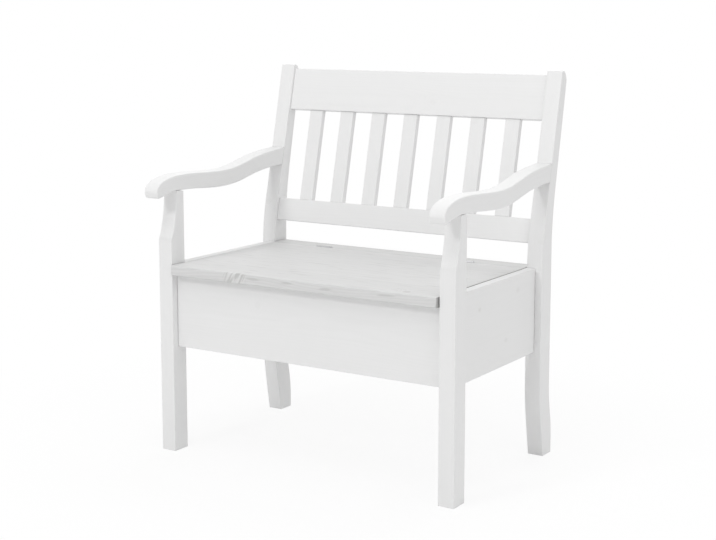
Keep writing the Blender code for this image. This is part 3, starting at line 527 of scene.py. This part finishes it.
def white_paint():
    """Opaque white paint on pine: the grain stands a little proud and knots ghost through."""
    made, web, shader = new_material("white_paint")
    shader.inputs["Specular IOR Level"].default_value = PAINT_SPECULAR
    grain = grain_place(web)
    pine = figure(web, grain)
    edge = worn_edge_and_highlight(web, PAINT_EDGE_WIDTH)
    # Painted shade: occlusion darkens the paint in the narrow corners where pieces meet, along with the dark
    # joint line
    line = web.group(JOINT_LINE_AND_PAINTED_SHADE, {"Reach": PAINT_JOINT_SHADE_WIDTH})["Line"]
    cloud = web.noise(grain, PAINT_CLOUD_SCALE, PAINT_CLOUD_DETAIL)
    brushed = web.noise(grain, PAINT_BRUSH_SCALE)
    coat = web.blend(cloud, *PAINT_TONES)
    coat = web.lay(coat, web.ease(brushed, *PAINT_BRUSH_MARKS), PAINT_BRUSHED)
    coat = web.lay(coat, pine["Rings"], PAINT_RINGS)
    coat = web.lay(coat, pine["Knots"], PAINT_KNOTS)
    coat = web.lay(coat, ghost_knots(web), PAINT_GHOSTS)
    # Painted highlight along the edges, together with the thinner paint there
    coat = web.lay(coat, edge, PAINT_EDGE_WEAR_AND_HIGHLIGHT)
    coat = web.lay(coat, line, PAINT_JOINT_LINE_AND_SHADE)
    web.feed(shader.inputs["Base Color"], coat)
    changes = ((pine["Fibre"], PAINT_FIBRE_ROUGHNESS), (edge, PAINT_EDGE_ROUGHNESS))
    roughen(web, shader, PAINT_ROUGHNESS, *changes)
    fibres = web.times(pine["Fibre"], PAINT_FIBRE_HEIGHT)
    relief(web, shader, web.maths("MULTIPLY_ADD", pine["Rings"], PAINT_RING_HEIGHT, fibres), *PAINT_RELIEF)
    return made


def grey_wax():
    """Pale grey wax on a glued pine board, with the grain showing as darker streaks."""
    made, web, shader = new_material("grey_wax")
    staves = web.group(GLUED_STAVES, {"Vector": grain_place(web), "Width": STAVE_WIDTH})
    grain = staves["Vector"]
    pine = figure(web, grain)
    edge = worn_edge_and_highlight(web, WAX_EDGE_WIDTH)
    streak = web.noise(grain, WAX_STREAK_SCALE, WAX_STREAK_DETAIL, WAX_STREAK_ROUGHNESS)
    dash = web.noise(grain, WAX_DASH_SCALE, WAX_DASH_DETAIL)
    knot, spikes = edge_knot(web)
    wax = web.blend(staves["Tone"], *WAX_TONES)
    wax = web.lay(wax, web.ease(streak, *WAX_STREAK_MARKS), WAX_STREAKS)
    wax = web.lay(wax, pine["Rings"], WAX_RINGS)
    wax = web.lay(wax, web.ease(dash, *WAX_DASH_MARKS), WAX_DASHES)
    wax = web.lay(wax, pine["Knots"], WAX_KNOTS)
    wax = web.lay(wax, staves["Seam"], WAX_SEAMS)
    # Painted shade: the wax of the pieces listed for it is laid darker
    wax = web.lay(wax, web.attribute("wax_painted_shade")["Fac"], WAX_PAINTED_SHADE_TONE)
    wax = web.lay(wax, knot, (EDGE_KNOT_SHARE, web.blend(spikes, *EDGE_KNOT_TONES)))
    wax = web.lay(wax, web.attribute("end_grain")["Fac"], WAX_ENDS)
    wax = web.lay(wax, edge, WAX_EDGE)
    web.feed(shader.inputs["Base Color"], wax)
    changes = ((pine["Fibre"], WAX_FIBRE_ROUGHNESS), (edge, WAX_EDGE_ROUGHNESS))
    roughen(web, shader, WAX_ROUGHNESS, *changes)
    height = web.maths("MULTIPLY_ADD", pine["Rings"], WAX_RING_HEIGHT, pine["Fibre"])
    relief(web, shader, height, *WAX_RELIEF)
    return made


def bare_pine():
    """Planed pine with no finish, for battens and dowels."""
    made, web, shader = new_material("bare_pine")
    pine = figure(web, grain_place(web))
    wood = web.blend(pine["Fibre"], *PINE_TONES)
    wood = web.lay(wood, pine["Rings"], PINE_RINGS)
    wood = web.lay(wood, pine["Knots"], PINE_KNOTS)
    web.feed(shader.inputs["Base Color"], wood)
    roughen(web, shader, PINE_ROUGHNESS, (pine["Fibre"], PINE_FIBRE_ROUGHNESS))
    height = web.maths("MULTIPLY_ADD", pine["Rings"], PINE_RING_HEIGHT, pine["Fibre"])
    relief(web, shader, height, *PINE_RELIEF)
    return made


def zinc_steel():
    """Zinc plated steel with a faint spangle and brighter rubbed edges."""
    made, web, shader = new_material("zinc_steel")
    place = web.object_place()
    drawn = web.noise(place, ZINC_DRAWN_SCALE)
    zinc = web.blend(web.noise(place, ZINC_SPANGLE_SCALE), *ZINC_TONES)
    zinc = web.lay(zinc, worn_edge_and_highlight(web, ZINC_EDGE_WIDTH), ZINC_EDGE)
    web.feed(shader.inputs["Base Color"], zinc)
    shader.inputs["Metallic"].default_value = 1.0
    roughen(web, shader, ZINC_ROUGHNESS, (drawn, ZINC_DRAWN_ROUGHNESS))
    relief(web, shader, drawn, *ZINC_RELIEF)
    return made


FINISHES = {
    "white_paint": white_paint(),
    "grey_wax": grey_wax(),
    "bare_pine": bare_pine(),
    "zinc_steel": zinc_steel(),
}


def clean_copy(node, flat_angle):
    """The node's mesh with its triangles merged back to whole faces."""
    bm = bmesh.new()
    bm.from_mesh(frame["nodes"][node].data)
    bmesh.ops.remove_doubles(bm, verts=bm.verts, dist=MERGE)
    bmesh.ops.dissolve_limit(bm, angle_limit=flat_angle, verts=bm.verts, edges=bm.edges)
    return bm


def with_edges(faces):
    """Faces together with their edges and corners, as a cut takes them."""
    geometry = set(faces)
    for face in faces:
        geometry.update(face.edges, face.verts)
    return list(geometry)


def split_rows(bm):
    """Split the faces of a rail that hold a row of mortises, so that no triangle lies along the row."""
    rows = [face for face in bm.faces if len(face.verts) > FEW_SIDES]
    bmesh.ops.triangulate(bm, faces=rows, quad_method="BEAUTY", ngon_method="BEAUTY")


def round_arm(bm):
    """Round the long edges of an armrest further, down to the solid's own round at the rear leg."""
    sides = [pick(vert.co.x for vert in bm.verts) for pick in (min, max)]
    end = max(bm.faces, key=lambda face: face.normal.y * face.calc_area())
    end_place, end_out = end.calc_center_median(), end.normal.copy()
    belt = belt_tree(bm)
    add_round_loops(bm, sides)
    bm.normal_update()
    places = {}
    for vert in bm.verts:
        side, inward = min(zip(sides, (1, -1)), key=lambda pair: abs(pair[0] - vert.co.x))
        across = abs(vert.co.x - side)
        fade = min(max((end_place - vert.co).dot(end_out) / ARM_ROUND_FADE, 0), 1)
        reach = SOLID_ROUND + (ARM_ROUND - SOLID_ROUND) * fade
        probe = Vector((side + inward * ARM_ROUND, vert.co.y, vert.co.z))
        skin, _, _, depth = belt.find_nearest(probe)
        if across < reach and depth < reach:
            out = (skin - probe if depth > MERGE else Vector((0, vert.normal.y, vert.normal.z))).normalized()
            scale = reach / math.hypot(reach - across, reach - depth)
            place = skin - out * (reach - (reach - depth) * scale)
            place.x = side + inward * (reach - (reach - across) * scale)
            places[vert] = place
    for vert, place in places.items():
        vert.co = place


def belt_tree(bm):
    """Search tree of the faces that run round an armrest between its two sides."""
    belt = [face for face in bm.faces if abs(face.normal.x) < SQUARE_TO_SIDES]
    corners = [vert.co.copy() for face in belt for vert in face.verts]
    counts = iter(range(len(corners)))
    return BVHTree.FromPolygons(corners, [[next(counts) for _ in face.verts] for face in belt])


def add_round_loops(bm, sides):
    """Add the loops of edges that the fuller round needs, on the belt and on both sides."""
    half_round = math.radians(45)
    angles = [half_round * step / ARM_ROUND_STEPS for step in range(ARM_ROUND_STEPS - 1)]
    reaches = [ARM_ROUND * (1 - math.tan(angle)) for angle in angles]
    for side, inward in zip(sides, (1, -1)):
        for reach in reaches:
            plane = (side + inward * reach, 0, 0)
            bmesh.ops.bisect_plane(bm, geom=with_edges(bm.faces), plane_co=plane, plane_no=(1, 0, 0))
    flats = [pick(bm.faces, key=lambda face: face.normal.x * face.calc_area()) for pick in (min, max)]
    depth = SOLID_ROUND
    for reach in reversed(reaches):
        bmesh.ops.inset_individual(bm, faces=flats, thickness=reach - depth, use_even_offset=True)
        depth = reach


def tuck_nose(bm):
    """Draw the lower front of an armrest's nose in under it."""
    rear = min(vert.co.y for vert in bm.verts) + NOSE_TUCK_DEPTH
    low = min(vert.co.z for vert in bm.verts if vert.co.y < rear)
    for step in range(1, NOSE_TUCK_STEPS):
        plane = (0, 0, low + NOSE_TUCK_RISE * step / NOSE_TUCK_STEPS)
        nose = with_edges([face for face in bm.faces if face.calc_center_median().y < rear])
        bmesh.ops.bisect_plane(bm, geom=nose, plane_co=plane, plane_no=(0, 0, 1))
    for vert in bm.verts:
        share = 1 - (vert.co.z - low) / NOSE_TUCK_RISE
        if share > 0 and vert.co.y < rear:
            vert.co.y += NOSE_TUCK * share**NOSE_TUCK_POWER


def cut_cross_recess(bm):
    """Sink a cross into the flat head of a screw."""
    head = max(bm.faces, key=lambda face: len(face.verts))
    middle = head.calc_center_median()
    radius = (head.verts[0].co - middle).length
    across = (head.verts[0].co - middle).normalized()
    normal = head.normal.copy()
    side = normal.cross(across)
    reach = radius * RECESS_WIDTH
    bmesh.ops.inset_individual(bm, faces=[head], thickness=radius * RECESS_RIM, use_even_offset=True)
    field = {head}
    for direction in (across, side):
        for offset in (-reach, reach):
            plane = middle + direction * offset
            cut = bmesh.ops.bisect_plane(bm, geom=with_edges(field), plane_co=plane, plane_no=direction)
            field.update(item for item in cut["geom"] if isinstance(item, bmesh.types.BMFace))
    cross = [face for face in field if in_cross(face.calc_center_median() - middle, across, side, reach)]
    sunk = bmesh.ops.extrude_face_region(bm, geom=cross)["geom"]
    bmesh.ops.delete(bm, geom=cross, context="FACES_ONLY")
    floor = [item for item in sunk if isinstance(item, bmesh.types.BMVert)]
    down = -normal * radius * RECESS_DEPTH
    bmesh.ops.translate(bm, vec=down, verts=floor)
    for vert in floor:
        vert.co = middle + down + (vert.co - middle - down) * RECESS_TAPER
    bmesh.ops.recalc_face_normals(bm, faces=bm.faces)


def in_cross(offset, across, side, reach):
    """Whether a place on a screw's head lies in one of the two arms of its cross."""
    return min(abs(offset.dot(across)), abs(offset.dot(side))) < reach


def shape_piece(node):
    """The node's mesh in whole faces, with the forms that its solid leaves out."""
    is_arm = node in ARMRESTS
    bm = clean_copy(node, ARM_FLAT_ANGLE if is_arm else FLAT_ANGLE)
    if is_arm:
        round_arm(bm)
        tuck_nose(bm)
        bmesh.ops.remove_doubles(bm, verts=bm.verts, dist=CROWDED)
    elif "rail" in node:
        split_rows(bm)
    elif "screw" in node:
        cut_cross_recess(bm)
    return bm


def lay_grain(mesh, number):
    """Give each point its place in the log, along the grain and across from the pith, and mark the ends."""
    points = np.empty(len(mesh.vertices) * 3)
    mesh.vertices.foreach_get("co", points)
    points = points.reshape(-1, 3)
    points = points - (points.min(0) + points.max(0)) / 2
    axes = np.linalg.eigh(points.T @ points)[1][:, ::-1]
    axes = axes * np.sign(axes[np.abs(axes).argmax(0), range(3)])
    draw = np.random.default_rng(number)
    turn = draw.uniform(0, 2 * math.pi)
    far = draw.uniform(PITH_NEAR, PITH_FAR)
    pith = (BOARD_STEP * number, far * math.cos(turn), far * math.sin(turn))
    places = points @ axes + pith
    grain = mesh.attributes.new("grain", "FLOAT_VECTOR", "POINT")
    grain.data.foreach_set("vector", places.astype(np.float32).ravel())
    normals = np.empty(len(mesh.polygons) * 3)
    mesh.polygons.foreach_get("normal", normals)
    ends = np.abs(normals.reshape(-1, 3) @ axes[:, 0]) > END_GRAIN
    end_grain = mesh.attributes.new("end_grain", "FLOAT", "FACE")
    end_grain.data.foreach_set("value", ends.astype(np.float32))


def note(mesh, name, value):
    """Write one value on every point of a mesh, for its material to read."""
    attribute = mesh.attributes.new(name, "FLOAT", "POINT")
    attribute.data.foreach_set("value", np.full(len(mesh.vertices), value, np.float32))


def edge_ease(node):
    """How far the finish rounds over the edges of this piece."""
    return next((size for word, size in EDGE_EASE.items() if word in node), PLAIN_EASE)


def place_mesh(name, bm):
    """Make an object of a finished bmesh at the origin."""
    mesh = bpy.data.meshes.new(name)
    bm.to_mesh(mesh)
    bm.free()
    made = bpy.data.objects.new(name, mesh)
    bpy.context.scene.collection.objects.link(made)
    return made


def dress(node, number, slot):
    """Replace a CAD node with its finished piece."""
    made = place_mesh(f"{node}_{FINISH_WORDS[slot]}", shape_piece(node))
    mesh = made.data
    mesh.shade_smooth()
    mesh.set_sharp_from_angle(angle=CREASE_ANGLE)
    lay_grain(mesh, number)
    note(mesh, "edge_ease", edge_ease(node))
    # Share of painted shade on the wax of this piece
    note(mesh, "wax_painted_shade", WAX_PAINTED_SHADE.get(node, 0.0))
    mesh.materials.append(FINISHES[slot])
    made.modifiers.new("flat_faces", "WEIGHTED_NORMAL").keep_sharp = True
    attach(made, frame["nodes"][node]["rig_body"])
    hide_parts(node)


def dress_bench():
    """Dress every node in the finish that the record gives it."""
    slots = {part["node"]: part["material_slot"] for part in frame["record"]["subparts"]}
    for number, node in enumerate(sorted(slots), 1):
        dress(node, number, slots[node])


def seen_directly(web):
    """Share of 1 for rays from the camera, a gloss or a clear piece, and 0 for light."""
    path = web.add("ShaderNodeLightPath").outputs
    share = web.maths("MAXIMUM", path["Is Camera Ray"], path["Is Glossy Ray"])
    return web.maths("MAXIMUM", share, path["Is Transmission Ray"])


def mix_shaders(web, share, first, second, output):
    """Feed an output with the second shader by a share, and with the first by the rest."""
    mix = web.add("ShaderNodeMixShader", {0: share, 1: first.outputs[0], 2: second.outputs[0]})
    web.feed(web.tree.nodes[output].inputs["Surface"], mix.outputs[0])


def build_floor():
    """White floor that keeps a soft shadow."""
    bm = bmesh.new()
    bmesh.ops.create_grid(bm, x_segments=1, y_segments=1, size=FLOOR_REACH)
    floor = place_mesh("studio_floor", bm)
    made, web, shader = new_material("studio_floor")
    shader.inputs["Base Color"].default_value = FLOOR_TONE
    shader.inputs["Roughness"].default_value = 1.0
    shader.inputs["Specular IOR Level"].default_value = 0.0
    glow = web.add("ShaderNodeEmission", {"Color": WHITE, "Strength": 1.0})
    fade = web.ease(web.length(web.object_place()), SHADOW_NEAR, SHADOW_FAR, FLOOR_GLOW, 1.0)
    mix_shaders(web, web.times(seen_directly(web), fade), shader, glow, "Material Output")
    floor.data.materials.append(made)


def build_sky():
    """Even light all round, seen as plain white."""
    world = bpy.data.worlds.new("studio_sky")
    world.use_nodes = True
    bpy.context.scene.world = world
    web = Web(world.node_tree)
    light = world.node_tree.nodes["Background"]
    light.inputs["Color"].default_value = WHITE
    light.inputs["Strength"].default_value = SKY_LIGHT
    white = web.add("ShaderNodeBackground", {"Color": WHITE, "Strength": 1.0})
    mix_shaders(web, seen_directly(web), light, white, "World Output")


def add_softbox(name, turn, height, distance, size, power):
    """A square softbox that faces the bench and stays out of the picture."""
    light = bpy.data.lights.new(name, "AREA")
    light.shape = "SQUARE"
    light.size = size
    light.energy = power
    turn, height = math.radians(turn), math.radians(height)
    level = math.cos(height)
    towards = Vector((math.sin(turn) * level, -math.cos(turn) * level, math.sin(height)))
    box = bpy.data.objects.new(name, light)
    box.location = AIM + towards * distance
    box.rotation_euler = towards.to_track_quat("Z", "Y").to_euler()
    box.visible_camera = False
    bpy.context.scene.collection.objects.link(box)


def add_camera():
    """The camera of the photograph."""
    lens = bpy.data.cameras.new("photo_camera")
    lens.lens = CAMERA_LENS
    lens.sensor_width = CAMERA_SENSOR
    lens.shift_y = CAMERA_SHIFT
    camera = bpy.data.objects.new("photo_camera", lens)
    camera.location = CAMERA_PLACE
    camera.rotation_euler = (math.pi / 2 + CAMERA_TILT, 0, CAMERA_TURN)
    bpy.context.scene.collection.objects.link(camera)
    bpy.context.scene.camera = camera


dress_bench()
build_floor()
build_sky()
for label, setting in SOFTBOXES.items():
    add_softbox(label, *setting)
add_camera()
bpy.context.scene.view_settings.view_transform = "Standard"
